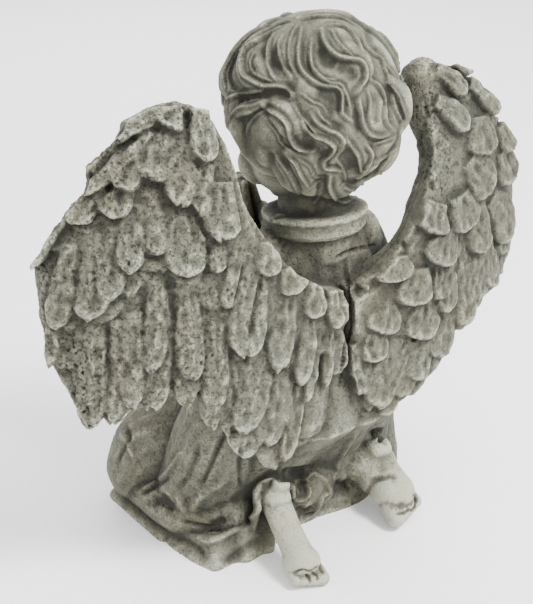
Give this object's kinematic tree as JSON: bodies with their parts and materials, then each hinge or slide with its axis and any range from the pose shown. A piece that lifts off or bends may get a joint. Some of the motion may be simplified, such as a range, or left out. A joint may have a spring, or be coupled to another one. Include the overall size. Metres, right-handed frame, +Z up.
{
  "type": "kneeling angel statue",
  "caption": "Cast stone cherub angel that kneels in prayer, with raised feathered wings, curly hair, a folded gown and bare feet behind it.",
  "frame": {"origin": "on the flat underside, on the middle plane of the figure, below its back", "axes": "+X to the figure's left, +Y to its back, +Z up; the face looks along -Y"},
  "size_m": [0.3186, 0.167, 0.3005],
  "materials": {
    "weathered_stone": "matt weathered cast stone, pale greenish grey with dark crevices and brown stains"
  },
  "bodies": {
    "root": {"angel_statue": "weathered_stone"}
  },
  "joints": []
}
